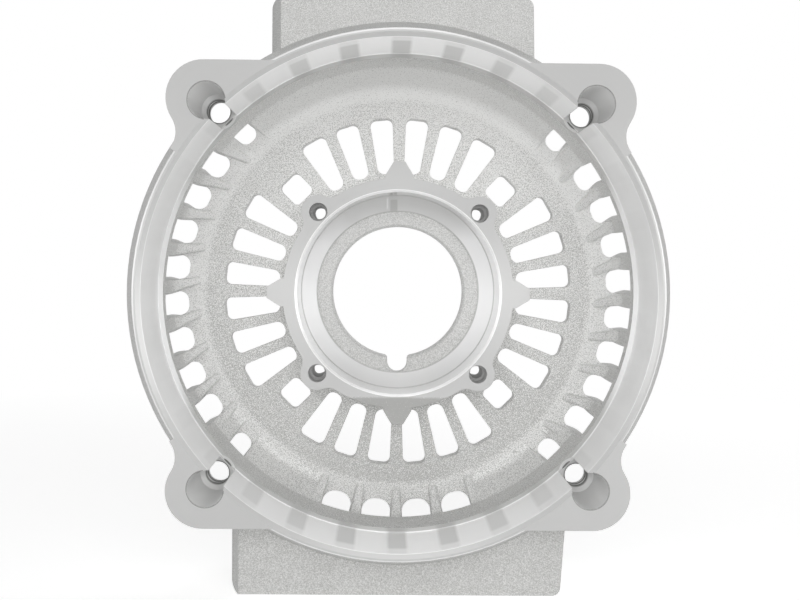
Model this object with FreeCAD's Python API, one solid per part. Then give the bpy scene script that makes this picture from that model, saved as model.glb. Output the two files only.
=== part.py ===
import FreeCAD, Part
import math
import os

from FreeCAD import Vector

os.makedirs("parts", exist_ok=True)

# Axes and datum
# The shaft axis is Y. The machined rim face is y = 0 and looks to -Y, so y is the depth behind it.
# The foot points to -Z. Angles run clockwise from +Z as seen from the open side.
# All sizes are in millimetres and degrees.

# Stator register and its ledge
register_r = 91.8
register_lead = 1.6
register_depth = 33.0
ledge_width = 1.8
ledge_ring = 5.0

# Rim lip, and the flange that flares out behind it
lip_r = register_r + 2.5
lip_height = 2.4
lip_edge = 0.35
flare_start_r = lip_r + 1.1
flare_end_r = lip_r + 6.0
flare_depth = 18.0
flange_back = 24.0
flange_round = 2.5

# Shell behind the flange: a collar round the register, then the thinner back wall
collar_r = register_r + 4.2
collar_draft = 0.6
wall_outer_r = register_r + 1.6
wall_outer_start = 39.0
wall_outer_draft = 0.6
shell_back_round = 5.0

# Web between the shell and the hub
web_front = 62.0
web_thickness = 6.0

# Inner wall: a straight part behind the ledge, then a ramp that runs down to the web
wall_draft = 0.4
ramp_start = 50.5
ramp_foot_r = 83.2
ramp_kink_round = 2.0
ramp_foot_round = 5.0

# Hub boss and bearing seat
boss_front = 47.0
boss_r = 45.6
boss_foot_round = 2.0
bearing_r = 40.0
bearing_lead = 0.8
bearing_depth = 21.5
relief_depth = 0.7
relief_r = 33.2
shaft_hole_r = 27.0
shaft_hole_lead = 0.8
hub_back = 77.0
hub_back_r = 46.0
hub_back_foot_r = 48.0
hub_back_round = 2.5

# Drain notch at the foot of the shaft hole, and the slip mark in the bearing seat
notch_half_width = 4.1
notch_centre_r = 29.3
notch_mouth_round = 1.6
seat_groove_half_width = 1.5
seat_groove_depth = 0.8
seat_groove_angle = -3.5

# Retainer screws
screw_circle_r = 45.0
screw_lobe_r = 6.7
screw_lobe_blend = 5.0
screw_sink_r = 3.6
screw_sink_depth = 9.0
screw_hole_r = 2.5

# Pointed cusps of the boss on the four axes
cusp_tip_r = 52.0
cusp_tip_half = 2.2
cusp_base_r = 46.4
cusp_base_half = 5.6

# Cooling slots round the hub, the same in each quarter: angle from the nearest axis,
# half width at the inner end, half width at the outer end
slot_rows = [
    (6.1, 3.2, 4.75),
    (18.0, 3.2, 4.85),
    (30.3, 2.9, 5.6),
]
slot_inner_r = 48.3
slot_outer_r = 70.6
slot_outer_round = 2.4
corner_hole_r = 58.8
corner_hole_half_width = 4.9
corner_hole_half_height = 5.3
corner_hole_round = 2.3

# Vent windows at the edge of the web. The side ones open the wall from the ledge ring down, lean over
# and narrow on one side on their way out.
window_inner_r = 85.0
window_pivot_r = 88.0
side_window_count = 8
side_window_pitch = 9.5
side_window_middles = [91.5, 271.6]
side_window_half = 4.9
side_window_slant = 16.0
side_window_round = 3.7
side_throat_start_r = 89.6
side_throat_end_r = 96.0
side_throat_half = 4.1
low_window_count = 4
low_window_pitch = 10.5
low_window_half = 5.9
low_window_outer_r = 94.0
low_window_round = 5.2
diagonal_window_angle = 45.7
diagonal_window_half = 4.0
diagonal_window_outer_r = 93.5
diagonal_window_slant = 9.0
diagonal_window_round = 3.4

# Channels down the ramp to each window, a little wider than the windows
channel_inner_r = 79.0
channel_margin = 0.3

# Fins that stand between the channels and run from the wall down to the web
fin_crest_start = ramp_start + 2.0
fin_inner_r = ramp_foot_r - 3.4
fin_inner_half = 1.5
fin_outer_half = 2.2
fin_crest_round = 1.1

# Clamp ears. The rounding of an ear is struck a little farther out than its hole.
ear_offset = (register_r + 5.2) * math.sqrt(0.5)
ear_swell = 0.9
ear_r = 13.3
ear_back = 38.6
ear_blend = 9.0
ear_face_ring_r = lip_r + 2.0
ear_root_r = 80.0
ear_spread = 0.6
ear_sink_r = 6.5
ear_sink_lead = 0.2
ear_sink_depth = 30.4
ear_drill_angle = 59.0
ear_thread_r = 4.25

# Upper mounting pad
pad_half_width = 48.2
pad_top = 109.2
pad_front = 18.0
pad_back = 60.0
pad_edge_round = 3.0
pad_slant = 1.0
pad_bevel_width = 4.0
pad_bevel_depth = 9.0
pad_side_round = 3.5
pad_hole_spacing = 64.0
pad_hole_depth = 17.0

# Foot
foot_left = 61.9
foot_right = 63.4
foot_bottom = 110.4
foot_front = 14.0
foot_back = 60.0
foot_edge_round = 3.2
foot_slant = 3.2
foot_bevel_width = 3.4
foot_bevel_depth = 9.0
foot_hole_spacing_x = 92.0
foot_hole_spacing_y = 24.0
foot_hole_depth = 18.0
mount_hole_r = 4.25
mount_hole_lead = 0.9

# Ribs on the back of the web, between the slots
rib_half_width = 1.4
rib_root_height = 6.0
rib_outer_r = 82.0
rib_angles = [0.0, 24.1, 65.9]

far = 140.0
web_back = web_front + web_thickness
seat_back = boss_front + bearing_depth
ledge_r = register_r - ledge_width
wall_r = ledge_r - wall_draft
quarters = [0.0, 90.0, 180.0, 270.0]


def rounded_wire(corners, radii):
    """Closed wire through corners in one plane, each rounded by an arc of its own radius."""
    count = len(corners)
    starts = []
    ends = []
    middles = []
    for i in range(count):
        here = corners[i]
        back_way = (corners[i - 1] - here).normalize()
        on_way = (corners[(i + 1) % count] - here).normalize()
        if radii[i] <= 0.0:
            starts.append(here)
            ends.append(here)
            middles.append(None)
            continue
        half = back_way.getAngle(on_way) / 2.0
        reach = radii[i] / math.tan(half)
        bisector = (back_way + on_way).normalize()
        centre = here + bisector * (radii[i] / math.sin(half))
        starts.append(here + back_way * reach)
        ends.append(here + on_way * reach)
        middles.append(centre - bisector * radii[i])
    edges = []
    for i in range(count):
        if middles[i] is not None:
            edges.append(Part.Arc(starts[i], middles[i], ends[i]).toShape())
        following = starts[(i + 1) % count]
        if ends[i].distanceToPoint(following) > 1e-6:
            edges.append(Part.LineSegment(ends[i], following).toShape())
    return Part.Wire(edges)


def turned(profile):
    """Solid of revolution about the shaft axis from (radius, depth, corner rounding) points."""
    corners = [Vector(r, y, 0.0) for r, y, rounding in profile]
    wire = rounded_wire(corners, [rounding for r, y, rounding in profile])
    return Part.Face(wire).revolve(Vector(0, 0, 0), Vector(0, 1, 0), 360.0)


def spun(shape, angle):
    """Copy of a shape turned about the shaft axis, clockwise as seen from the open side."""
    copy = shape.copy()
    copy.rotate(Vector(0, 0, 0), Vector(0, 1, 0), angle)
    return copy


def disc(x, z, radius, front, back):
    """Cylinder parallel to the shaft axis."""
    return Part.makeCylinder(radius, back - front, Vector(x, front, z), Vector(0, 1, 0))


def cone(x, z, front_r, back_r, front, back):
    """Cone parallel to the shaft axis."""
    return Part.makeCone(front_r, back_r, back - front, Vector(x, front, z), Vector(0, 1, 0))


def prism(points, radii, front, back):
    """Prism along the shaft axis from (x, z) corners, rounded by one radius or by one each."""
    if not isinstance(radii, (list, tuple)):
        radii = [radii] * len(points)
    wire = rounded_wire([Vector(x, front, z) for x, z in points], radii)
    return Part.Face(wire).extrude(Vector(0, back - front, 0))


def slanted(points, pivot_r, angle):
    """Outline drawn at the top and skewed so that its inner end moves clockwise."""
    lean = math.tan(math.radians(angle))
    return [(x + (pivot_r - z) * lean, z) for x, z in points]


def shell_blank():
    """Solid outer form: lip, flange, collar, back wall and web back."""
    return turned(
        [
            (0.0, 0.0, 0.0),
            (lip_r - lip_edge, 0.0, 0.0),
            (lip_r, lip_edge, 0.0),
            (lip_r, lip_height, 0.0),
            (flare_start_r, lip_height + 0.8, 0.0),
            (flare_end_r, flare_depth, 2.0),
            (flare_end_r, flange_back, flange_round),
            (collar_r, flange_back + 1.0, flange_round),
            (collar_r - collar_draft, register_depth, 0.0),
            (wall_outer_r, wall_outer_start, 2.0),
            (wall_outer_r - wall_outer_draft, web_back, shell_back_round),
            (0.0, web_back, 0.0),
        ]
    )


def cavity():
    """Inside of the frame: lead, register, ledge, wall and ramp down to the web."""
    return turned(
        [
            (0.0, -5.0, 0.0),
            (register_r + register_lead, -5.0, 0.0),
            (register_r + register_lead, 0.0, 0.0),
            (register_r, register_lead, 0.0),
            (register_r, register_depth, 0.0),
            (ledge_r, register_depth, 0.0),
            (wall_r, ramp_start, ramp_kink_round),
            (ramp_foot_r, web_front, ramp_foot_round),
            (0.0, web_front, 0.0),
        ]
    )


def tangent_lobe(centre_r, lobe_r, ring_r, blend_r, front, back):
    """Lobe on a round boss, drawn at the top, with concave blends into the ring on both sides."""
    reach_ring = ring_r + blend_r
    reach_lobe = lobe_r + blend_r
    along = (centre_r**2 + reach_ring**2 - reach_lobe**2) / (2.0 * centre_r)
    across = math.sqrt(reach_ring**2 - along**2)
    edges = []
    ring_points = []
    lobe_points = []
    mids = []
    for side in (-1.0, 1.0):
        blend = Vector(side * across, front, along)
        ring_point = Vector(side * across * ring_r / reach_ring, front, along * ring_r / reach_ring)
        lobe_centre = Vector(0, front, centre_r)
        toward = (blend - lobe_centre).normalize()
        lobe_point = lobe_centre + toward * lobe_r
        middle_way = ((ring_point - blend).normalize() + (lobe_point - blend).normalize()).normalize()
        ring_points.append(ring_point)
        lobe_points.append(lobe_point)
        mids.append(blend + middle_way * blend_r)
    top = Vector(0, front, centre_r + lobe_r)
    edges.append(Part.Arc(ring_points[0], mids[0], lobe_points[0]).toShape())
    edges.append(Part.Arc(lobe_points[0], top, lobe_points[1]).toShape())
    edges.append(Part.Arc(lobe_points[1], mids[1], ring_points[1]).toShape())
    inner = Vector(0, front, bearing_r + 1.0)
    edges.append(Part.LineSegment(ring_points[1], inner).toShape())
    edges.append(Part.LineSegment(inner, ring_points[0]).toShape())
    return Part.Face(Part.Wire(edges)).extrude(Vector(0, back - front, 0))


def hub():
    """Boss with screw lobes and cusps in front of the web, and the bearing cup behind it."""
    cup = turned(
        [
            (0.0, boss_front, 0.0),
            (boss_r, boss_front, 0.0),
            (boss_r, web_front, boss_foot_round),
            (hub_back_foot_r, web_front, 0.0),
            (hub_back_foot_r, web_back, 0.0),
            (hub_back_r, hub_back, hub_back_round),
            (0.0, hub_back, 0.0),
        ]
    )
    parts = []
    lobe = tangent_lobe(screw_circle_r, screw_lobe_r, boss_r, screw_lobe_blend, boss_front, web_back)
    for quarter in quarters:
        parts.append(spun(lobe, quarter + 45.0))
    cusp = prism(
        [
            (-cusp_base_half, cusp_base_r - 2.5),
            (-cusp_base_half, cusp_base_r),
            (-cusp_tip_half, cusp_tip_r),
            (cusp_tip_half, cusp_tip_r),
            (cusp_base_half, cusp_base_r),
            (cusp_base_half, cusp_base_r - 2.5),
        ],
        [0.0, 2.0, 0.8, 0.8, 2.0, 0.0],
        boss_front,
        web_back,
    )
    for quarter in quarters:
        parts.append(spun(cusp, quarter))
    return cup.multiFuse(parts)


def bearing_seat():
    """Bearing bore with its lead, shoulder, relief ring and shaft hole."""
    return turned(
        [
            (0.0, boss_front - 1.0, 0.0),
            (bearing_r + bearing_lead, boss_front - 1.0, 0.0),
            (bearing_r + bearing_lead, boss_front, 0.0),
            (bearing_r, boss_front + bearing_lead, 0.0),
            (bearing_r, seat_back, 0.0),
            (relief_r, seat_back, 0.0),
            (relief_r, seat_back + relief_depth, 0.0),
            (shaft_hole_r + shaft_hole_lead, seat_back + relief_depth, 0.0),
            (shaft_hole_r, seat_back + relief_depth + shaft_hole_lead, 0.0),
            (shaft_hole_r, hub_back + 1.0, 0.0),
            (0.0, hub_back + 1.0, 0.0),
        ]
    )


def drain_notch():
    """Round-ended notch in the rim of the shaft hole, at the bottom, with eased mouth corners."""
    front = seat_back - 0.5
    back = hub_back + 1.0
    slot = prism(
        [
            (-notch_half_width, 4.0 - shaft_hole_r),
            (-notch_half_width, -notch_centre_r),
            (notch_half_width, -notch_centre_r),
            (notch_half_width, 4.0 - shaft_hole_r),
        ],
        0.0,
        front,
        back,
    )
    end = disc(0.0, -notch_centre_r, notch_half_width, front, back)
    # The mouth is as wide as the two easing discs that stand beside the slot
    reach = shaft_hole_r + notch_mouth_round
    side = notch_half_width + notch_mouth_round
    drop = math.sqrt(reach**2 - side**2)
    mouth = prism([(-side, -drop), (side, -drop), (0.0, 0.0)], 0.0, front, back)
    easing = [disc(s * side, -drop, notch_mouth_round, front - 1.0, back + 1.0) for s in (-1.0, 1.0)]
    return slot.multiFuse([end, mouth.cut(easing)])


def seat_groove():
    """Shallow axial groove in the wall of the bearing seat."""
    groove = prism(
        [
            (-seat_groove_half_width, bearing_r - 2.0),
            (-seat_groove_half_width, bearing_r + seat_groove_depth),
            (seat_groove_half_width, bearing_r + seat_groove_depth),
            (seat_groove_half_width, bearing_r - 2.0),
        ],
        0.0,
        boss_front + 2.0,
        seat_back,
    )
    return spun(groove, seat_groove_angle)


def screw_holes():
    """Four stepped screw holes in the lobes."""
    cuts = []
    for quarter in quarters:
        a = math.radians(quarter + 45.0)
        x = screw_circle_r * math.sin(a)
        z = screw_circle_r * math.cos(a)
        cuts.append(disc(x, z, screw_sink_r, boss_front - 1.0, boss_front + screw_sink_depth))
        cuts.append(disc(x, z, screw_hole_r, boss_front, hub_back + 1.0))
    return cuts


def cooling_slots():
    """Slots and diagonal holes through the web round the hub."""
    cuts = []
    front = web_front - 1.0
    back = web_back + 1.0
    for angle, inner_half, outer_half in slot_rows:
        outline = [
            (-inner_half, slot_inner_r),
            (-outer_half, slot_outer_r),
            (outer_half, slot_outer_r),
            (inner_half, slot_inner_r),
        ]
        # The inner end is almost a half circle
        end_round = inner_half * 0.93
        slot = prism(outline, [end_round, slot_outer_round, slot_outer_round, end_round], front, back)
        for quarter in quarters:
            cuts.append(spun(slot, quarter + angle))
            cuts.append(spun(slot, quarter - angle))
    w = corner_hole_half_width
    h = corner_hole_half_height
    hole = prism(
        [
            (-w, corner_hole_r - h),
            (-w, corner_hole_r + h),
            (w, corner_hole_r + h),
            (w, corner_hole_r - h),
        ],
        corner_hole_round,
        front,
        back,
    )
    for quarter in quarters:
        cuts.append(spun(hole, quarter + 45.0))
    return cuts


def row_of_angles(middle, pitch, count):
    """Evenly spaced clock angles about a middle one."""
    return [middle + pitch * (i - (count - 1) / 2.0) for i in range(count)]


def side_window_angles():
    """Clock angles of the windows of both sides."""
    angles = []
    for middle in side_window_middles:
        angles += row_of_angles(middle, side_window_pitch, side_window_count)
    return angles


def low_window_angles():
    """Clock angles of the windows over the foot."""
    return row_of_angles(180.0, low_window_pitch, low_window_count)


def diagonal_window_angles():
    """Clock angles of the single windows beside the ears."""
    return [quarter + diagonal_window_angle for quarter in quarters]


def side_window():
    """One side window, drawn at the top. Its clockwise side is straight, the other one bends inwards."""
    half = side_window_half
    lean = side_window_slant
    inner = slanted([(-half, window_inner_r), (-half, side_throat_start_r)], window_pivot_r, lean)
    outer = slanted([(half, side_throat_end_r), (half, window_inner_r)], window_pivot_r, lean)
    throat = [(-side_throat_half, side_throat_end_r), (-side_throat_half, far)]
    points = inner + throat + [(outer[0][0], far)] + outer
    radii = [side_window_round, 1.0, 1.0, 0.0, 0.0, 1.0, side_window_round]
    return prism(points, radii, register_depth + ledge_ring, web_back + 1.0)


def inner_window(half, outer_r, inner_round, slant):
    """Window from the start of the ramp to the back of the web, drawn at the top."""
    outline = slanted(
        [(-half, window_inner_r), (-half, outer_r), (half, outer_r), (half, window_inner_r)],
        window_pivot_r,
        slant,
    )
    return prism(outline, [inner_round, 0.8, 0.8, inner_round], ramp_start, web_back + 1.0)


def channel(half, slant, front):
    """Channel down the ramp to one window, drawn at the top. Its floor is the face of the web."""
    wide = half + channel_margin
    outline = [(-wide, channel_inner_r), (-wide, wall_r), (wide, wall_r), (wide, channel_inner_r)]
    return prism(slanted(outline, window_pivot_r, slant), 0.0, front, web_front)


def windows():
    """All windows and the channels that lead to them."""
    diagonal_slant = diagonal_window_slant
    kinds = [
        (side_window_angles(), side_window(), channel(side_window_half, side_window_slant, ramp_start)),
        (
            low_window_angles(),
            inner_window(low_window_half, low_window_outer_r, low_window_round, 0.0),
            channel(low_window_half, 0.0, ramp_start),
        ),
        (
            diagonal_window_angles(),
            inner_window(
                diagonal_window_half, diagonal_window_outer_r, diagonal_window_round, diagonal_slant
            ),
            channel(diagonal_window_half, diagonal_slant, ramp_start),
        ),
    ]
    cuts = []
    for angles, window, lead in kinds:
        for angle in angles:
            cuts.append(spun(window, angle))
            cuts.append(spun(lead, angle))
    return cuts


def fin(slant):
    """One fin, drawn at the top: a leaning wedge with a rounded crest."""
    root_r = wall_r + 1.0
    wedge = Part.makePolygon(
        [
            Vector(-10.0, web_front + 1.0, fin_inner_r),
            Vector(-10.0, web_front, fin_inner_r),
            Vector(-10.0, fin_crest_start, wall_r),
            Vector(-10.0, fin_crest_start, root_r),
            Vector(-10.0, web_front + 1.0, root_r),
            Vector(-10.0, web_front + 1.0, fin_inner_r),
        ]
    )
    blade = prism(
        slanted(
            [
                (-fin_inner_half, fin_inner_r - 1.0),
                (-fin_outer_half, root_r + 1.0),
                (fin_outer_half, root_r + 1.0),
                (fin_inner_half, fin_inner_r - 1.0),
            ],
            window_pivot_r,
            slant,
        ),
        0.0,
        fin_crest_start - 1.0,
        web_front + 2.0,
    )
    body = Part.Face(wedge).extrude(Vector(20.0, 0, 0)).common(blade)
    drop = (web_front - fin_crest_start) / (wall_r - fin_inner_r)
    crest = []
    for edge in body.Edges:
        ends = [v.Point for v in edge.Vertexes]
        on_crest = all(abs(p.y - fin_crest_start - (wall_r - p.z) * drop) < 0.01 for p in ends)
        if on_crest and abs(ends[0].z - ends[1].z) > 3.0:
            crest.append(edge)
    return body.makeFillet(fin_crest_round, crest)


def fins():
    """Fins between the windows, and beside the first and last window of each row."""
    leaning = fin(side_window_slant)
    straight = fin(0.0)
    row = []
    for middle in side_window_middles:
        for angle in row_of_angles(middle, side_window_pitch, side_window_count + 1):
            row.append(spun(leaning, angle))
    for angle in row_of_angles(180.0, low_window_pitch, low_window_count + 1):
        row.append(spun(straight, angle))
    return row


def around(radius, depth, angle):
    """Point at a clock angle, clockwise from the top as seen from the open side."""
    turn = math.radians(angle)
    return Vector(radius * math.sin(turn), depth, radius * math.cos(turn))


def ear_wire(ring_r, depth):
    """Outline of the upper right ear at one depth: round about its hole, with a blend into a ring on
    the outer side and a straight edge that runs to the pad on the other."""
    middle = ear_offset + ear_swell
    gap = middle * math.sqrt(2.0)
    reach_ring = ring_r + ear_blend
    reach_ear = ear_r + ear_blend
    along = (gap**2 + reach_ring**2 - reach_ear**2) / (2.0 * gap)
    blend_angle = 45.0 + math.degrees(math.acos(along / reach_ring))
    end_angle = blend_angle + ear_spread
    centre = Vector(middle, depth, middle)
    blend = around(reach_ring, depth, blend_angle)
    on_ring = around(ring_r, depth, blend_angle)
    on_ear = centre + (blend - centre).normalize() * ear_r
    halfway = ((on_ring - blend).normalize() + (on_ear - blend).normalize()).normalize()
    tip = around(gap + ear_r, depth, 45.0)
    top = Vector(middle, depth, middle + ear_r)
    run_end = Vector(math.sqrt(lip_r**2 - top.z**2) - 2.0, depth, top.z)
    run_root = around(ear_root_r, depth, math.degrees(math.atan2(run_end.x, run_end.z)))
    ring_end = around(ring_r, depth, end_angle)
    ring_root = around(ear_root_r, depth, end_angle)
    edges = [
        Part.Arc(on_ring, blend + halfway * ear_blend, on_ear).toShape(),
        Part.Arc(on_ear, tip, top).toShape(),
        Part.LineSegment(top, run_end).toShape(),
        Part.LineSegment(run_end, run_root).toShape(),
        Part.LineSegment(run_root, ring_root).toShape(),
        Part.LineSegment(ring_root, ring_end).toShape(),
        Part.Arc(ring_end, around(ring_r, depth, blend_angle + ear_spread / 2.0), on_ring).toShape(),
    ]
    return Part.Wire(edges)


def ear():
    """Ear at the upper right. Its outer blend widens from the rim plane down to the flange."""
    foot_wire = ear_wire(flare_end_r, flare_depth)
    front = Part.makeLoft([ear_wire(ear_face_ring_r, 0.0), foot_wire], True, True)
    return front.fuse(Part.Face(foot_wire).extrude(Vector(0, ear_back - flare_depth, 0)))


def ears():
    """Four ears, mirrored in both middle planes."""
    first = ear()
    left = first.mirror(Vector(0, 0, 0), Vector(1, 0, 0))
    low_right = first.mirror(Vector(0, 0, 0), Vector(0, 0, 1))
    low_left = left.mirror(Vector(0, 0, 0), Vector(0, 0, 1))
    return [first, left, low_right, low_left]


def ear_holes():
    """Stepped hole of each ear: a clearance with a lead, which breaks into the register, the cone of
    its drill, and the thread hole, which also clears the outside of the back wall."""
    cuts = []
    lead_r = ear_sink_r + ear_sink_lead
    floor = ear_sink_depth + (ear_sink_r - ear_thread_r) / math.tan(math.radians(ear_drill_angle))
    for sx in (-1.0, 1.0):
        for sz in (-1.0, 1.0):
            x = sx * ear_offset
            z = sz * ear_offset
            cuts.append(cone(x, z, lead_r + 1.0, ear_sink_r, -1.0, ear_sink_lead))
            cuts.append(disc(x, z, ear_sink_r, 0.0, ear_sink_depth))
            cuts.append(cone(x, z, ear_sink_r, ear_thread_r, ear_sink_depth, floor))
            cuts.append(disc(x, z, ear_thread_r, 0.0, web_back + 1.0))
    return cuts


def block(left, right, root, tip, slant, front, back, edge_round, bevel_width, bevel_depth):
    """Pad block drawn with its tip up: rounded tip corners and a bevelled front edge on the left."""
    body = prism(
        [(-left, root), (-left, tip), (right - slant, tip), (right, root)],
        [0.0, edge_round, edge_round, 0.0],
        front,
        back,
    )
    wedge = Part.makePolygon(
        [
            Vector(-left - 1.0, front - 1.0, root - 1.0),
            Vector(-left + bevel_width, front - 1.0, root - 1.0),
            Vector(-left + bevel_width, front, root - 1.0),
            Vector(-left, front + bevel_depth, root - 1.0),
            Vector(-left - 1.0, front + bevel_depth, root - 1.0),
            Vector(-left - 1.0, front - 1.0, root - 1.0),
        ]
    )
    bevel = Part.Face(wedge).extrude(Vector(0, 0, tip - root + 2.0))
    return body.cut(bevel)


def upper_pad():
    """Block of the upper mounting pad."""
    return block(
        pad_half_width,
        pad_half_width + pad_slant,
        70.0,
        pad_top,
        pad_slant,
        pad_front,
        pad_back,
        pad_edge_round,
        pad_bevel_width,
        pad_bevel_depth,
    )


def pad_side_blends():
    """Concave fillets between the sides of the pad and the straight edges of the upper ears."""
    size = pad_side_round
    low = ear_offset + ear_swell + ear_r
    blends = []
    for way in (-1.0, 1.0):
        inner = way * (pad_half_width - 1.0)
        outer = way * (pad_half_width + size)
        corners = [(inner, low - 1.0), (inner, low + size), (outer, low + size), (outer, low - 1.0)]
        square = prism(corners, 0.0, pad_front, ear_back)
        blends.append(square.cut(disc(outer, low + size, size, pad_front - 1.0, ear_back + 1.0)))
    return blends


def foot():
    """Foot block, drawn tip up and then turned over to the bottom, so its bevel stays on the left."""
    body = block(
        foot_left,
        foot_right,
        60.0,
        foot_bottom,
        foot_slant,
        foot_front,
        foot_back,
        foot_edge_round,
        foot_bevel_width,
        foot_bevel_depth,
    )
    return body.mirror(Vector(0, 0, 0), Vector(0, 0, 1))


def mount_holes():
    """Tapped blind holes in the faces of the pad and the foot, with leads."""
    cuts = []

    def add(x, y, z, way, depth):
        top = Vector(x, y, z + way)
        cuts.append(Part.makeCylinder(mount_hole_r, depth + 1.0, top, Vector(0, 0, -way)))
        tip = Vector(x, y, z - way * depth)
        cuts.append(Part.makeCone(mount_hole_r, 0.0, mount_hole_r * 0.58, tip, Vector(0, 0, -way)))
        mouth = mount_hole_r + mount_hole_lead
        cuts.append(
            Part.makeCone(
                mouth + 1.0,
                mount_hole_r,
                mount_hole_lead + 1.0,
                top,
                Vector(0, 0, -way),
            )
        )

    pad_middle = (pad_front + pad_back) / 2.0
    foot_middle = (foot_front + foot_back) / 2.0
    for sx in (-0.5, 0.5):
        add(sx * pad_hole_spacing, pad_middle, pad_top, 1.0, pad_hole_depth)
        for sy in (-0.5, 0.5):
            y = foot_middle + sy * foot_hole_spacing_y
            add(sx * foot_hole_spacing_x, y, -foot_bottom, -1.0, foot_hole_depth)
    return cuts


def back_ribs():
    """Tapered ribs on the back of the web, in the bars between the slots."""
    ribs = []
    start = hub_back_r - 3.0
    outline = Part.makePolygon(
        [
            Vector(-rib_half_width, web_back - 1.0, start),
            Vector(-rib_half_width, web_back - 1.0, rib_outer_r),
            Vector(-rib_half_width, web_back + 0.5, rib_outer_r),
            Vector(-rib_half_width, web_back + rib_root_height, start),
            Vector(-rib_half_width, web_back - 1.0, start),
        ]
    )
    rib = Part.Face(outline).extrude(Vector(2.0 * rib_half_width, 0, 0))
    for quarter in quarters:
        for angle in rib_angles:
            ribs.append(spun(rib, quarter + angle))
    return ribs


def end_frame():
    """The whole casting as one solid."""
    blank = shell_blank().multiFuse(ears() + [upper_pad(), foot()] + pad_side_blends())
    cup = blank.cut([cavity()])
    vented = cup.cut(windows() + cooling_slots())
    frame = vented.multiFuse([hub()] + fins() + back_ribs())
    bores = [bearing_seat(), drain_notch(), seat_groove()]
    frame = frame.cut(bores + screw_holes() + ear_holes() + mount_holes())
    return frame.removeSplitter()


frame = end_frame()
solids = frame.Solids
solid = max(solids, key=lambda s: s.Volume)
print("solids", len(solids), "volume cm3", round(solid.Volume / 1000.0, 1), "valid", solid.isValid())
box = solid.BoundBox
print("size mm", round(box.XLength, 1), round(box.YLength, 1), round(box.ZLength, 1))
print("centre of mass", [round(v, 1) for v in solid.CenterOfMass])
solid.exportStep("parts/end_frame.step")
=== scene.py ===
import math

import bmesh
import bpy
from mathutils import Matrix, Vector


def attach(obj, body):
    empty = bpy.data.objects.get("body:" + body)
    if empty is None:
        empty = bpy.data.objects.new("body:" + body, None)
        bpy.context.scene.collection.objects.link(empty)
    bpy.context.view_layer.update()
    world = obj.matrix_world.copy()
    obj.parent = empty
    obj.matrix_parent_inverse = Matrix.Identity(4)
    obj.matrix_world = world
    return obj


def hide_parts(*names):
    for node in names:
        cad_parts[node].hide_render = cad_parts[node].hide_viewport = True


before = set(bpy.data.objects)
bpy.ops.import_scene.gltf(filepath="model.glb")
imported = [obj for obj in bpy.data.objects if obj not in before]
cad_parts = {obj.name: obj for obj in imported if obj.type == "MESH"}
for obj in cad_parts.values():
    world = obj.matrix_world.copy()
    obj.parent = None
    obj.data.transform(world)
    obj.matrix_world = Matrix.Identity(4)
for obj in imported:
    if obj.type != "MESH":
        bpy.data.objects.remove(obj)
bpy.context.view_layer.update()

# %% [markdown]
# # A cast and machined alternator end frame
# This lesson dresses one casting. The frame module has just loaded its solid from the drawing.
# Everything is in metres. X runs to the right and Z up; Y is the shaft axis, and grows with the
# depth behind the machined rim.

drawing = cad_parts["end_frame"]

# %% [markdown]
# ## Sizes that the finishes follow
# The lathe and the drills touch the casting at known radii and depths. The finishes find those
# places by the same numbers as the drawing, so each is written here once, in millimetres. The walls
# of the pad and the foot lie further than `blocks_from` above and below the shaft.

# %% Sizes of the machined places
MM = 0.001

rim_outer = 94.3
lip_height = 2.4
register_radius = 91.8
register_lead = 1.6
register_depth = 33.0
ledge_inner = 90.0
boss_depth = 47.0
seat_radius = 40.0
seat_lead = 0.8
shoulder_depth = 68.5
shoulder_inner = 33.2
ear_offset = 68.6
ear_sink_radius = 6.5
ear_thread_radius = 4.25
ear_thread_start = 31.8
ear_back = 38.6
screw_offset = 45.0 * math.sqrt(0.5)
screw_sink_radius = 3.6
pad_top = 109.2
foot_bottom = 110.4
blocks_from = 97.0
print("ear holes lie", round(2.0 * ear_offset, 1), "mm apart")

# %% [markdown]
# ## The casting
# The drawing's mesh is copied into a new object, because its bolt holes get real threads and its
# grain has to know the lathe's axis. A shader lays the grain of a brushed metal round an object's own
# Z, so the new object is turned until its Z is the shaft axis. Its points are turned back by as
# much, so nothing moves.


# %% Copy the drawn solid with its own Z along the shaft
shaft_turn = Matrix.Rotation(math.radians(-90.0), 4, "X")


def copy_of_drawing(name):
    """New object with the drawing's mesh, whose own Z is the shaft axis."""
    mesh = drawing.data.copy()
    mesh.name = name
    mesh.transform(shaft_turn.inverted())
    made = bpy.data.objects.new(name, mesh)
    made.matrix_world = shaft_turn
    bpy.context.scene.collection.objects.link(made)
    return made


casting = copy_of_drawing("end_frame_casting")
print("points in the drawing's mesh", len(casting.data.vertices))

# %% [markdown]
# ## Welding and shading
# The drawing's mesh comes as loose triangles, one patch for each face of the solid. Welding the
# patches lets the shading run smoothly from a fillet into a flat. The flats are marked as strong, so
# that the normals along their borders are theirs and a fillet's curve ends where it should.


# %% Weld the patches and even the shading
SQUARE_ON = 0.99999
STRONG = 16384


def is_flat(face):
    """True for the faces across the shaft and for the walls of the pad and the foot."""
    steepest = max(abs(face.normal.x), abs(face.normal.y))
    on_block = abs(face.calc_center_median().y) > blocks_from * MM
    return abs(face.normal.z) > SQUARE_ON or (steepest > SQUARE_ON and on_block)


def weld(mesh, distance):
    """Join the patches of a mesh, pair its triangles and mark its flats as strong."""
    work = bmesh.new()
    work.from_mesh(mesh)
    bmesh.ops.remove_doubles(work, verts=work.verts, dist=distance)
    bmesh.ops.join_triangles(
        work,
        faces=work.faces,
        angle_face_threshold=math.radians(1.0),
        angle_shape_threshold=math.radians(180.0),
    )
    work.normal_update()
    strength = work.faces.layers.int.new("__mod_weightednormals_faceweight")
    for face in work.faces:
        face[strength] = STRONG if is_flat(face) else 0
    work.to_mesh(mesh)
    work.free()


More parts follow.
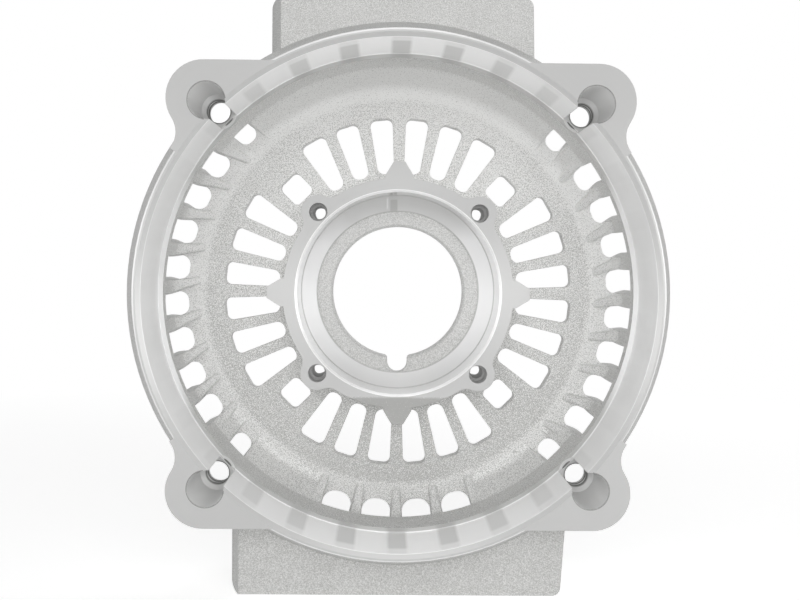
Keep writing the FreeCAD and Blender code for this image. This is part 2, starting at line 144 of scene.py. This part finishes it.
def shade(piece, sharp_angle):
    """Smooth the faces that meet at less than an angle, without the normals stored before."""
    stored = piece.data.attributes.get("custom_normal")
    if stored:
        piece.data.attributes.remove(stored)
    for face in piece.data.polygons:
        face.use_smooth = True
    piece.data.set_sharp_from_angle(angle=math.radians(sharp_angle))
    evened = piece.modifiers.new("even_normals", "WEIGHTED_NORMAL")
    evened.keep_sharp = True
    evened.mode = "FACE_AREA"
    evened.use_face_influence = True


weld(casting.data, distance=0.002 * MM)
print("faces after welding", len(casting.data.polygons))

# %% [markdown]
# ## Room for the threads
# A tap has cut M10 threads in the deep end of each ear's hole, and their turns catch the light just
# before the white of the far side. The drawing has plain bores there. The wall of each bore is cut
# at the two depths where the thread starts and ends, and what lies between is taken out.


# %% Take out the plain bores
def open_bore(mesh, x, y, radius, start, end):
    """Delete the wall of one bore between two depths, in millimetres."""
    work = bmesh.new()
    work.from_mesh(mesh)
    axis = Vector((x * MM, y * MM))
    slack = 0.03 * MM

    def on_wall(face):
        return all(abs((v.co.xy - axis).length - radius * MM) < slack for v in face.verts)

    for level in (start, end):
        wall = [face for face in work.faces if on_wall(face)]
        around = set()
        for face in wall:
            around.update(face.verts)
            around.update(face.edges)
        bmesh.ops.bisect_plane(
            work,
            geom=wall + list(around),
            plane_co=(0.0, 0.0, level * MM),
            plane_no=(0.0, 0.0, 1.0),
        )
    gone = []
    for face in work.faces:
        if on_wall(face) and start * MM < face.calc_center_median().z < end * MM:
            gone.append(face)
    bmesh.ops.delete(work, geom=gone, context="FACES")
    work.to_mesh(mesh)
    work.free()
    return len(gone)


ear_axes = [(sx * ear_offset, sy * ear_offset) for sx in (-1, 1) for sy in (-1, 1)]
for x, y in ear_axes:
    taken = open_bore(casting.data, x, y, ear_thread_radius, ear_thread_start, ear_back)
    print("faces taken out of the bore at", x, y, ":", taken)
shade(casting, sharp_angle=24.0)

# %% [markdown]
# ## Threads in the ears
# A thread is one groove that winds round and goes down by a pitch each turn. A profile could be swept
# along a helix, but its ends would then need closing. A sleeve of rings is simpler: each ring's points
# lie further out where the groove passes them. Towards the ends the groove fades, as the tap's lead
# leaves it, so the sleeve meets the bore without a gap.


# %% Cut the threads
def threaded_sleeve(name, axes, radius, start, end, pitch, depth):
    """Insides of tapped holes: a right-hand groove that fades out at both ends."""
    around = 60
    rows_in_a_turn = 10
    fade_turns = 0.5
    slope = 1.35
    crest = 0.15
    down = int((end - start) / pitch * rows_in_a_turn)
    points = []
    faces = []
    for x, y in axes:
        first = len(points)
        for row in range(down + 1):
            level = start + (end - start) * row / down
            from_end = min(level - start, end - level)
            fade = min(1.0, from_end / (fade_turns * pitch))
            for step in range(around):
                turn = step / around
                phase = (level / pitch - turn) % 1.0
                groove = 1.0 - abs(2.0 * phase - 1.0)
                cut = min(max(groove * slope - crest, 0.0), 1.0)
                r = radius + depth * cut * max(fade, 0.0)
                angle = turn * math.tau
                across = x + r * math.cos(angle)
                along = y + r * math.sin(angle)
                points.append((across * MM, along * MM, level * MM))
        for row in range(down):
            for step in range(around):
                a = first + row * around + step
                b = first + row * around + (step + 1) % around
                faces.append((a, a + around, b + around, b))
    mesh = bpy.data.meshes.new(name)
    mesh.from_pydata(points, [], faces)
    made = bpy.data.objects.new(name, mesh)
    made.matrix_world = shaft_turn
    bpy.context.scene.collection.objects.link(made)
    return made


threads = threaded_sleeve(
    "ear_threads",
    ear_axes,
    ear_thread_radius,
    ear_thread_start,
    ear_back,
    pitch=1.5,
    depth=0.72,
)
shade(threads, sharp_angle=50.0)
print("faces in the threads", len(threads.data.polygons))

# %% [markdown]
# ## A short way to write finishes
# A finish is a tree of shader nodes. `Signal` stands for one socket, and plain arithmetic on it adds
# Math nodes. Every other node comes from `Bench.node`.


# %% Signal and Bench
class Signal:
    """One output socket of a finish, which can be reckoned with."""

    def __init__(self, bench, socket):
        self.bench = bench
        self.socket = socket

    def reckon(self, operation, *values):
        """Add a Math node that works on the values in their order."""
        return self.bench.node("Math", {"operation": operation}, dict(enumerate(values)))

    def __add__(self, other):
        return self.reckon("ADD", self, other)

    def __radd__(self, other):
        return self.reckon("ADD", other, self)

    def __sub__(self, other):
        return self.reckon("SUBTRACT", self, other)

    def __rsub__(self, other):
        return self.reckon("SUBTRACT", other, self)

    def __mul__(self, other):
        return self.reckon("MULTIPLY", self, other)

    def __rmul__(self, other):
        return self.reckon("MULTIPLY", other, self)

    def __truediv__(self, other):
        return self.reckon("DIVIDE", self, other)

    def __abs__(self):
        return self.reckon("ABSOLUTE", self)

    def root(self):
        return self.reckon("SQRT", self)

    def lowest(self, other):
        return self.reckon("MINIMUM", self, other)

    def highest(self, other):
        return self.reckon("MAXIMUM", self, other)

    def held(self):
        """The same value, held between 0 and 1."""
        return self.lowest(1.0).highest(0.0)

    def wrapped(self):
        """The part after the decimal point."""
        return self.reckon("FRACT", self)

    def out(self, name):
        """Another output of the same node."""
        return Signal(self.bench, self.socket.node.outputs[name])


class Bench:
    """The node tree of a material or a world while it is being wired."""

    def __init__(self, owner):
        owner.use_nodes = True
        self.tree = owner.node_tree
        self.tree.nodes.clear()

    def node(self, kind, settings=None, sockets=None, output=0):
        """Add a node: its settings first, then the values or links of its sockets."""
        made = self.tree.nodes.new("ShaderNode" + kind)
        for key, value in (settings or {}).items():
            setattr(made, key, value)
        for key, value in (sockets or {}).items():
            if isinstance(value, Signal):
                self.tree.links.new(value.socket, made.inputs[key])
            else:
                made.inputs[key].default_value = value
        if not made.outputs:
            return None
        return Signal(self, made.outputs[output])

    def mixed(self, factor, first, second):
        """Colour between two colours."""
        sockets = {0: factor, 6: first, 7: second}
        return self.node("Mix", {"data_type": "RGBA"}, sockets, output=2)


# %% [markdown]
# ## Where a point lies
# The finishes ask for each point's place on the casting: across, up, in depth behind the rim and in
# radius from the shaft. Three noises break up every flat tone: the grain of the sand, a mottle of
# about a millimetre, and clouds of a few centimetres.


# %% Places as signals
class Place:
    """Where a point of the casting lies, in metres, and the noises at that point."""

    def __init__(self, bench):
        self.point = bench.node("TexCoord").out("Object")
        parts = bench.node("SeparateXYZ", None, {0: self.point})
        self.x = parts
        self.up = -1.0 * parts.out("Y")
        self.depth = parts.out("Z")
        self.radius = (self.x * self.x + self.up * self.up).root()
        self.grain = self.noise(bench, scale=2900.0, detail=0.0)
        self.mottle = self.noise(bench, scale=900.0, detail=2.0)
        self.cloud = self.noise(bench, scale=38.0, detail=2.0)

    def noise(self, bench, scale, detail):
        """Noise with so many lumps in a metre."""
        return bench.node("TexNoise", None, {"Vector": self.point, "Scale": scale, "Detail": detail})

    def from_axes(self, offset):
        """Distance from the nearest of four axes that lie at plus and minus one offset."""
        across = abs(self.x) - offset * MM
        along = abs(self.up) - offset * MM
        return (across * across + along * along).root()

    def clock(self):
        """Clock angle in radians, from the top."""
        return self.x.reckon("ARCTAN2", self.x, self.up) + math.tau


# %% [markdown]
# ## Where each finish lies
# The rough skin is as it left the mould. A lathe has cut the rim, the register, its ledge, the face
# of the boss and the bearing seat; drills have cut the holes, and a mill the pad and the foot. Each
# place is a band in radius and depth, so the border of a finish is as sharp as the cut itself.


# %% Bands in radius and depth
def band(value, low, high, edge=0.02):
    """1 where a length is between two sizes in millimetres, 0 elsewhere, with an edge that soft."""
    middle = (low + high) / 2.0 * MM
    half = (high - low) / 2.0 * MM
    return ((half - abs(value - middle)) / (edge * MM) + 0.5).held()


def either(first, *others):
    """The highest of several masks."""
    result = first
    for other in others:
        result = result.highest(other)
    return result


def face_at(depth, level):
    """Mask of the faces across the shaft that lie at one depth."""
    return band(depth, level - 0.1, level + 0.1)


def wall_at(radius, size):
    """Mask of the walls round the shaft that have one radius."""
    return band(radius, size - 0.2, size + 0.2)


# %% [markdown]
# ## What was cut
# Each mask says whether the lathe, the mill or a drill has been at a point. A band may reach past
# its cut where there is only air.


# %% Masks of the cut places
# Where a band ends in the air or in whole metal, in millimetres
in_front = -1.0
past_the_back = 90.0
past_the_blocks = 200.0
past_the_cusps = 60.0
past_the_ears = 60.0


def rim_face(at):
    """Mask of the flat face of the rim and the ears."""
    return band(at.depth, in_front, 0.1)


def turned_places(at):
    """Mask of what the lathe has cut."""
    lip = band(at.radius, register_radius - 0.3, rim_outer + 0.2)
    lip_side = band(at.radius, rim_outer - 0.2, rim_outer + 1.0)
    rim = either(
        rim_face(at),
        band(at.depth, in_front, register_lead + 0.1) * lip,
        band(at.depth, 0.1, lip_height + 0.7) * lip_side,
    )
    register = wall_at(at.radius, register_radius) * band(at.depth, 0.0, register_depth + 0.1)
    ledge_ring = band(at.radius, ledge_inner - 0.1, register_radius + 0.2)
    ledge = face_at(at.depth, register_depth) * ledge_ring
    boss = face_at(at.depth, boss_depth) * band(at.radius, seat_radius - 1.0, past_the_cusps)
    lead_ring = band(at.radius, seat_radius - 0.2, seat_radius + seat_lead + 0.1)
    lead = band(at.depth, boss_depth - 0.1, boss_depth + seat_lead + 0.1) * lead_ring
    seat_wall = band(at.radius, seat_radius - 0.2, seat_radius + 0.3)
    seat = band(at.depth, boss_depth, shoulder_depth + 0.1) * seat_wall
    shoulder_ring = band(at.radius, shoulder_inner - 0.2, seat_radius + 0.1)
    shoulder = face_at(at.depth, shoulder_depth) * shoulder_ring
    return either(rim, register, ledge, boss, lead, seat, shoulder)


def milled_places(at):
    """Mask of the two mounting faces."""
    pad = band(at.up, pad_top - 0.1, past_the_blocks)
    foot = band(at.up, -past_the_blocks, 0.1 - foot_bottom)
    return either(pad, foot)


def drilled_places(at):
    """Mask of the walls of the holes in the ears and in the boss."""
    ears = band(at.from_axes(ear_offset), 0.0, ear_sink_radius + 0.12)
    ears = ears * band(at.depth, 0.25, past_the_ears)
    screws = band(at.from_axes(screw_offset), 0.0, screw_sink_radius + 0.1)
    screws = screws * band(at.depth, boss_depth + 0.15, past_the_back)
    return either(ears, screws)


def register_mouth(at):
    """Mask of the lead that opens the register towards the rim."""
    slant = band(at.radius, register_radius + 0.15, register_radius + register_lead + 0.2)
    return slant * band(at.depth, 0.1, register_lead + 0.1)


def seat_mouth(at):
    """Mask of the lead that opens the bearing seat."""
    slant = band(at.radius, seat_radius - 0.1, seat_radius + seat_lead + 0.2)
    return slant * band(at.depth, boss_depth - 0.02, boss_depth + seat_lead + 0.2)


# %% [markdown]
# ## Painted light and marks of the cut
# Cut metal isn't even. Thirty dull patches, 12 degrees apart and plainer at the top and bottom, are
# painted in the register as painted reflection of the bars between the slots. The seat and its
# shoulder get painted shade at the top and bottom, a darker smear and darker edges. The turns of the
# threads and the holes' mouths get painted shade, and the lathe has missed the lowest part of the
# boss. These masks make such marks from places and noise, so they need no picture.


# %% Masks of the marks
def slot_reflection_patches(at):
    """Painted reflection: dull patches in the register, where it reflects the bars between the slots.
    """
    patches = 30.0
    half_gap = 0.315
    sharpness = 14.0
    faintest = 0.12
    turn = at.clock() * (patches / math.tau)
    from_middle = abs(turn.wrapped() - 0.5)
    across = ((from_middle - half_gap) * sharpness + 0.5).held()
    register_end = register_depth + 1.0
    deep_part = band(at.depth, 9.0, register_end, 3.0)
    from_near_rim = band(at.depth, 2.0, register_end, 0.6)
    height = at.up / (register_radius * MM)
    upright = (height * height * 1.15 - 0.1).highest(faintest)
    return across * (deep_part * 0.6 + from_near_rim * 0.4) * wall_at(at.radius, register_radius) * upright


def seat_shade_and_smear(at):
    """Painted shade at the top and bottom of the seat, a darker smear, a paler line and darker
    shoulder edges.
    """
    height = at.up / (seat_radius * MM)
    high_from = 0.5
    low_from = -0.6
    softness = 3.0
    # Painted shade: the seat and its shoulder are darker towards their top and bottom.
    high = ((height - high_from + (at.cloud - 0.5) * 0.6) * softness).held()
    low = ((low_from - height) * softness).held() * 0.6
    upper = (at.up / MM).held()
    clean_line = band(at.x, -4.9, -4.2, 0.2) * upper * band(at.radius, 34.5, 39.0, 1.0) * 0.8
    smear = band(at.x, -3.6, -0.2, 0.8) * upper * band(at.radius, 30.0, 38.6, 1.5)
    seat_and_shoulder = band(at.radius, shoulder_inner - 0.2, seat_radius + 0.3)
    on_seat = band(at.depth, boss_depth + 1.2, shoulder_depth + 0.1) * seat_and_shoulder
    at_shoulder = band(at.depth, shoulder_depth - 0.3, shoulder_depth + 0.1)
    outer_edge = band(at.radius, seat_radius - 0.5, seat_radius + 0.3, 0.1)
    inner_edge = band(at.radius, shoulder_inner - 0.3, shoulder_inner + 0.4, 0.1)
    patches = either(high.highest(low) * 0.6 * (1.0 - clean_line), smear * 0.9)
    return either(on_seat * patches, at_shoulder * either(outer_edge, inner_edge) * 0.8)


def thread_and_mouth_shade(at):
    """Mask of painted shade in two turns of the ears' threads and round the holes' mouths."""
    away = at.from_axes(ear_offset)
    first = band(at.depth, ear_thread_start - 0.3, ear_thread_start + 1.5, 0.3)
    second = band(at.depth, ear_thread_start + 3.2, ear_thread_start + 5.0, 0.3)
    threads_here = band(away, ear_thread_radius - 0.75, ear_thread_radius + 1.35, 0.1)
    mouth = band(away, ear_sink_radius - 0.05, ear_sink_radius + 0.35, 0.1)
    return either(threads_here * either(first, second), mouth * band(at.depth, in_front, 0.4) * 0.75)


def raw_boss(at):
    """Mask of the foot of the boss, which the lathe has missed."""
    missed_below = 41.5
    half_width = 22.0
    fade = 5.0
    low = ((-1.0 * at.up - missed_below * MM) / MM + at.cloud * 1.6).held()
    narrow = ((half_width * MM - abs(at.x)) / (fade * MM) + 0.5).held()
    return low * narrow * face_at(at.depth, boss_depth)


def ledge_painted_shade(at):
    """Mask of painted shade on the ledge, without its outer line, so that only its two sides stay
    bright.
    """
    bright_line = 0.45
    side_from = 0.93
    sharpness = 12.0
    inner = band(at.radius, ledge_inner - 10.0, register_radius - bright_line, 0.1)
    level = ((side_from - abs(at.x) / (register_radius * MM)) * sharpness).held()
    return inner * level * face_at(at.depth, register_depth)


# %% [markdown]
# ## The rough skin
# Cast aluminium is pale and dull with a fine grain, like wet sand. Its tone carries painted light: it
# is paler inside the cup, towards the top and on the ramp. It is darker where the lathe has missed the
# boss. The grain is stronger on the web than on the rim, and it is drawn in colour and in bump alike.


# %% Shader of the skin
CAST_PALE = (0.82, 0.82, 0.81, 1.0)
CAST_DARK = (0.42, 0.42, 0.41, 1.0)


def bumped(bench, height, strength, distance, edge_radius):
    """Normal with a fine relief, on edges that are rounded a little. Sizes are in millimetres."""
    soft_edge = bench.node("Bevel", {"samples": 4}, {"Radius": edge_radius * MM})
    sockets = {"Strength": strength, "Distance": distance * MM, "Height": height, "Normal": soft_edge}
    return bench.node("Bump", None, sockets)


def cast_skin(bench, at, raw):
    """Shader of the rough skin."""
    past_the_shaft = -1.0
    web_from = 42.0
    ramp_from = 78.0
    inner_wall = 89.5
    flange = 100.0
    inside = band(at.radius, past_the_shaft, inner_wall, 2.0)
    ramp = band(at.radius, ramp_from, inner_wall + 0.1, 2.0)
    web = band(at.radius, web_from, inner_wall, 2.0)
    # Painted light: the skin is paler inside the cup, towards the top and on the ramp.
    inside_light_tone = at.up / (ledge_inner * MM) * 0.34 + 0.07
    outside_light_tone = at.up / (flange * MM) * 0.03 - 0.06
    skin_tone_and_light = 0.44 + inside * inside_light_tone + (1.0 - inside) * outside_light_tone + ramp * 0.4 - raw * 0.9
    speckle = at.grain * 0.78 + at.mottle * 0.12 + at.cloud * 0.1
    contrast = web * 2.1 + 1.7
    pale = ((speckle - 0.5) * contrast + skin_tone_and_light).held()
    relief = at.grain + at.mottle * 1.5
    return bench.node(
        "BsdfPrincipled",
        None,
        {
            "Base Color": bench.mixed(pale, CAST_DARK, CAST_PALE),
            "Metallic": 0.15,
            "Roughness": 0.62 - 0.12 * pale,
            "Normal": bumped(bench, relief, strength=0.6, distance=0.05, edge_radius=0.5),
        },
    )


# %% [markdown]
# ## The cut metal
# The cuts are smoother than the skin, with very fine rings round the shaft. The rings spread a
# highlight across themselves, so the cut metal is a second shader with strong anisotropy. One list
# lays the tones over each other, each with its mask, from the turned metal itself to the painted shade
# in the threads. Among them are painted highlights, painted reflection patches and painted shade.


# %% Shader of the cut metal
CUT_PALE = (0.84, 0.84, 0.84, 1.0)
CUT_DARK = (0.74, 0.74, 0.735, 1.0)
FACE_GREY = (0.585, 0.585, 0.58, 1.0)
BOSS_GREY = (0.62, 0.62, 0.615, 1.0)
# Painted reflection, for the dull patches in the register.
REFLECTION_PATCH_GREY = (0.66, 0.66, 0.655, 1.0)
SEAT_GREY = (0.84, 0.84, 0.84, 1.0)
# Painted shade in the holes: a little in the ears, much in the screw holes.
EAR_HOLE_SHADE_GREY = (0.70, 0.70, 0.695, 1.0)
SCREW_HOLE_SHADE_GREY = (0.50, 0.50, 0.495, 1.0)
# Painted shade for the ledge and the seat, and the colour of the seat's smear.
SHADE_AND_SMEAR_GREY = (0.52, 0.52, 0.51, 1.0)
# Painted shade, for the turns of the threads and the holes' mouths.
THREAD_SHADE_GREY = (0.22, 0.22, 0.215, 1.0)
# Painted highlight, on the register's top and bottom and on the seat's lead.
HIGHLIGHT_WHITE = (1.0, 1.0, 1.0, 1.0)


def turning_rings(bench, at):
    """Noise that is drawn out along the rings of the cut."""
    rings_in_a_metre = 1500.0
    along = 5.0
    place = {0: at.radius * rings_in_a_metre, 1: at.depth * rings_in_a_metre, 2: at.x * along}
    sockets = {"Vector": bench.node("CombineXYZ", None, place), "Scale": 1.0, "Detail": 2.0}
    return bench.node("TexNoise", None, sockets)


def cut_metal(bench, at, drilled):
    """Shader of the turned, milled and drilled places."""
    reflection_patches = slot_reflection_patches(at)
    rings = turning_rings(bench, at)
    ear_holes_end = 41.0
    height = at.up / (register_radius * MM)
    register = wall_at(at.radius, register_radius)
    register = register * band(at.depth, register_lead - 0.1, register_depth + 0.1)
    tones = [
        # Painted highlight: the register wall turns white towards its top and bottom.
        (register * height * height, HIGHLIGHT_WHITE),
        (band(at.radius, shoulder_inner - 0.2, seat_radius + 0.3), SEAT_GREY),
        # Painted reflection of the bars between the slots, as dull patches in the register.
        (reflection_patches * 0.9, REFLECTION_PATCH_GREY),
        # Painted shade on the ledge, above and below the shaft.
        (ledge_painted_shade(at), SHADE_AND_SMEAR_GREY),
        (either(register_mouth(at), milled_places(at)) * 0.85, FACE_GREY),
        (rim_face(at), FACE_GREY),
        (face_at(at.depth, boss_depth), BOSS_GREY),
        # Painted highlight on the lead of the bearing seat.
        (seat_mouth(at), HIGHLIGHT_WHITE),
        # Painted shade at the top and bottom of the seat, with a darker smear and darker edges.
        (seat_shade_and_smear(at), SHADE_AND_SMEAR_GREY),
        # Painted shade: the ear holes a little darker, the screw holes much darker.
        (drilled * band(at.depth, in_front, ear_holes_end), EAR_HOLE_SHADE_GREY),
        (drilled * band(at.depth, ear_holes_end, past_the_back), SCREW_HOLE_SHADE_GREY),
        # Painted shade in the threads and round the holes' mouths.
        (thread_and_mouth_shade(at), THREAD_SHADE_GREY),
    ]
    pale = ((rings * 0.3 + at.cloud * 0.7 - 0.5) * 1.4 + 0.6).held()
    metal = bench.mixed(pale, CUT_DARK, CUT_PALE)
    for mask, colour in tones:
        metal = bench.mixed(mask, metal, colour)
    return bench.node(
        "BsdfPrincipled",
        None,
        {
            "Base Color": metal,
            "Metallic": 1.0 - drilled * 0.3,
            "Roughness": rings * 0.06 + reflection_patches * 0.1 + drilled * 0.1 + 0.4,
            "Anisotropic": 0.8,
            "Anisotropic Rotation": 0.25,
            "Normal": bumped(bench, rings, strength=0.12, distance=0.006, edge_radius=0.2),
        },
    )


# %% [markdown]
# ## One finish for the whole casting
# The real thing is one piece of metal, so it has one material. The mask of the cuts mixes the two
# shaders. The drawing's own solid gets it too, and the copy and its threads stand for that solid from
# here on.


# %% Put the finish on
def aluminium(name):
    """Material of the casting: rough skin where nothing has cut it, bright metal elsewhere."""
    made = bpy.data.materials.new(name)
    bench = Bench(made)
    at = Place(bench)
    raw = raw_boss(at)
    drilled = drilled_places(at)
    cut = either(turned_places(at), drilled, milled_places(at)) * (1.0 - raw)
    sockets = {0: cut, 1: cast_skin(bench, at, raw), 2: cut_metal(bench, at, drilled)}
    bench.node("OutputMaterial", None, {"Surface": bench.node("MixShader", None, sockets)})
    return made


finish = aluminium("cast_aluminium")
for piece in (casting, threads, drawing):
    piece.data.materials.clear()
    piece.data.materials.append(finish)
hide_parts("end_frame")
for piece in (casting, threads):
    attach(piece, "root")
print("nodes in the finish", len(finish.node_tree.nodes))

# %% [markdown]
# ## Floor
# The photograph shows the casting on white, so the floor is white too, with a soft shadow near the
# foot. Near the casting it is a matt sheet that loses light in the shadow, lifted by a glow of its
# own that only the camera and bare metal see. Further off it fades into the glow alone.

# %% Lay the floor
WHITE = (1.0, 1.0, 1.0, 1.0)
MATT_WHITE = (0.9, 0.9, 0.9, 1.0)


def seen_directly(bench):
    """1 for what the camera sees, also by way of bare metal."""
    paths = bench.node("LightPath")
    ways = ["Is Camera Ray", "Is Glossy Ray", "Is Transmission Ray"]
    return either(*[paths.out(way) for way in ways])


def floor_white(name):
    """Matt white near the middle that fades into plain white."""
    near_radius = 0.2
    fade = 0.5
    made = bpy.data.materials.new(name)
    bench = Bench(made)
    seen = seen_directly(bench)
    matt = bench.node("BsdfDiffuse", None, {"Color": MATT_WHITE})
    lift = bench.node("Emission", None, {"Color": WHITE, "Strength": seen * 0.56})
    near = bench.node("AddShader", None, {0: matt, 1: lift})
    far = bench.node("Emission", None, {"Color": WHITE, "Strength": seen * 0.8 + 0.2})
    point = bench.node("SeparateXYZ", None, {0: bench.node("TexCoord").out("Object")})
    away = (point * point + point.out("Y") * point.out("Y")).root()
    farther = ((away - near_radius) / fade).held()
    sheet = bench.node("MixShader", None, {0: farther, 1: near, 2: far})
    bench.node("OutputMaterial", None, {"Surface": sheet})
    return made


def studio_floor(level, half):
    """Square floor at one height. Its sides are twice the half long."""
    mesh = bpy.data.meshes.new("studio_floor")
    corners = [(-half, -half, level), (half, -half, level), (half, half, level), (-half, half, level)]
    mesh.from_pydata(corners, [], [(0, 1, 2, 3)])
    mesh.materials.append(floor_white("floor_white"))
    made = bpy.data.objects.new("studio_floor", mesh)
    bpy.context.scene.collection.objects.link(made)


studio_floor(-foot_bottom * MM, half=3.0)
print("floor", foot_bottom, "mm under the shaft")

# %% [markdown]
# ## Surroundings
# White shows through every slot of the web, so the world is white all round for the camera and for
# reflections. It lights matt surfaces far less than it shows, which leaves their light to the lamps.


# %% White all round
def white_sweep(level):
    """World that looks white and lights matt surfaces at a plain level."""
    world = bpy.data.worlds.new("white_sweep")
    bpy.context.scene.world = world
    bench = Bench(world)
    strength = seen_directly(bench) * (1.0 - level) + level
    sky = bench.node("Background", None, {"Color": WHITE, "Strength": strength})
    bench.node("OutputWorld", None, {"Surface": sky})


white_sweep(level=0.12)
print("surroundings", bpy.context.scene.world.name)

# %% [markdown]
# ## Lamps
# A large soft lamp in front fills the cup evenly, and one behind lights the back. Smaller ones at the
# sides, above and below brighten the turned rings there and cast no shadow. The two large lamps show
# in no reflection, because they would wash out the tones of the cuts.


# %% Hang the lamps
def softbox(name, place, width, height, power, in_gloss=True, shadow=True):
    """Area lamp that faces the casting."""
    aim_at = Vector((0.0, 0.03, 0.0))
    data = bpy.data.lights.new(name, "AREA")
    data.shape = "RECTANGLE"
    data.size = width
    data.size_y = height
    data.energy = power
    data.use_shadow = shadow
    made = bpy.data.objects.new(name, data)
    made.location = place
    made.visible_camera = False
    made.visible_glossy = in_gloss
    aim = aim_at - Vector(place)
    made.rotation_euler = aim.to_track_quat("-Z", "Y").to_euler()
    bpy.context.scene.collection.objects.link(made)


softbox("front_softbox", (0.0, -1.1, 0.2), width=1.3, height=1.1, power=8.5, in_gloss=False)
softbox("back_softbox", (0.4, 1.1, 0.5), width=1.2, height=1.2, power=6.0, in_gloss=False)
softbox("left_softbox", (-0.8, -0.6, 0.0), width=0.6, height=0.6, power=1.6, shadow=False)
softbox("right_softbox", (0.8, -0.6, 0.0), width=0.6, height=0.6, power=2.2, shadow=False)
softbox("top_fill", (0.0, -0.65, 0.8), width=0.6, height=0.6, power=1.1, shadow=False)
softbox("low_fill", (0.0, -0.65, -0.8), width=0.6, height=0.6, power=1.35, shadow=False)
print("lamps", len(bpy.data.lights))

# %% [markdown]
# ## Camera
# The view is almost square on, from 0.4 m. The camera stands a little above and to the left of the
# shaft, turned right and down by small angles, and is rolled by half a degree.

# %% Camera
camera_data = bpy.data.cameras.new("camera")
camera_data.sensor_width = 36.0
camera_data.lens = 51.0
camera = bpy.data.objects.new("camera", camera_data)
bpy.context.scene.collection.objects.link(camera)
stand = Matrix.Translation((-5.65 * MM, -400.0 * MM, 13.2 * MM))
turn_right = Matrix.Rotation(math.radians(-0.81), 4, "Z")
look_down = Matrix.Rotation(math.radians(90.0 - 2.02), 4, "X")
roll = Matrix.Rotation(math.radians(0.53), 4, "Z")
camera.matrix_world = stand @ turn_right @ look_down @ roll
bpy.context.scene.camera = camera
bpy.context.scene.view_settings.view_transform = "Standard"
print("camera at", [round(v, 4) for v in camera.matrix_world.translation])
